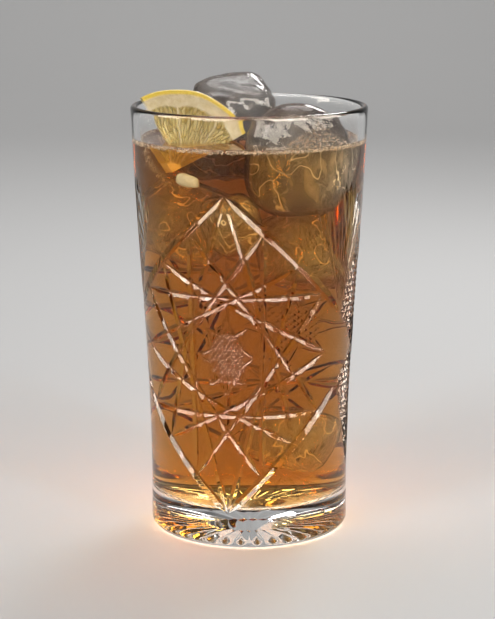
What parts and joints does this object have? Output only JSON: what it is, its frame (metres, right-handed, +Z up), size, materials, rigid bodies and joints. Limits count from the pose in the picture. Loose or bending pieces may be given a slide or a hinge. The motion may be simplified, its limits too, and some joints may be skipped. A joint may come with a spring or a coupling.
{
  "type": "glass of gin sling",
  "caption": "Tall cut-glass tumbler with star cuts, filled with an amber gin sling, with ice above the rim and a quarter slice of lemon.",
  "frame": {"origin": "centre of the glass's foot, on the surface it stands on", "axes": "+Z up along the glass's axis, -Y to the front, +X to the right seen from the front"},
  "size_m": [0.08, 0.08, 0.1555],
  "materials": {
    "clear_glass": "clear pressed glass with sharp V-shaped cuts, polished",
    "amber_drink": "clear orange-brown liquid",
    "clear_ice": "wet clear ice with cloudy streaks",
    "lemon": "moist lemon with yellow rind, pale pith and juicy flesh"
  },
  "bodies": {
    "root": {"glass": "clear_glass", "drink": "amber_drink", "ice_back": "clear_ice", "ice_right": "clear_ice", "lemon_slice": "lemon"}
  },
  "joints": []
}
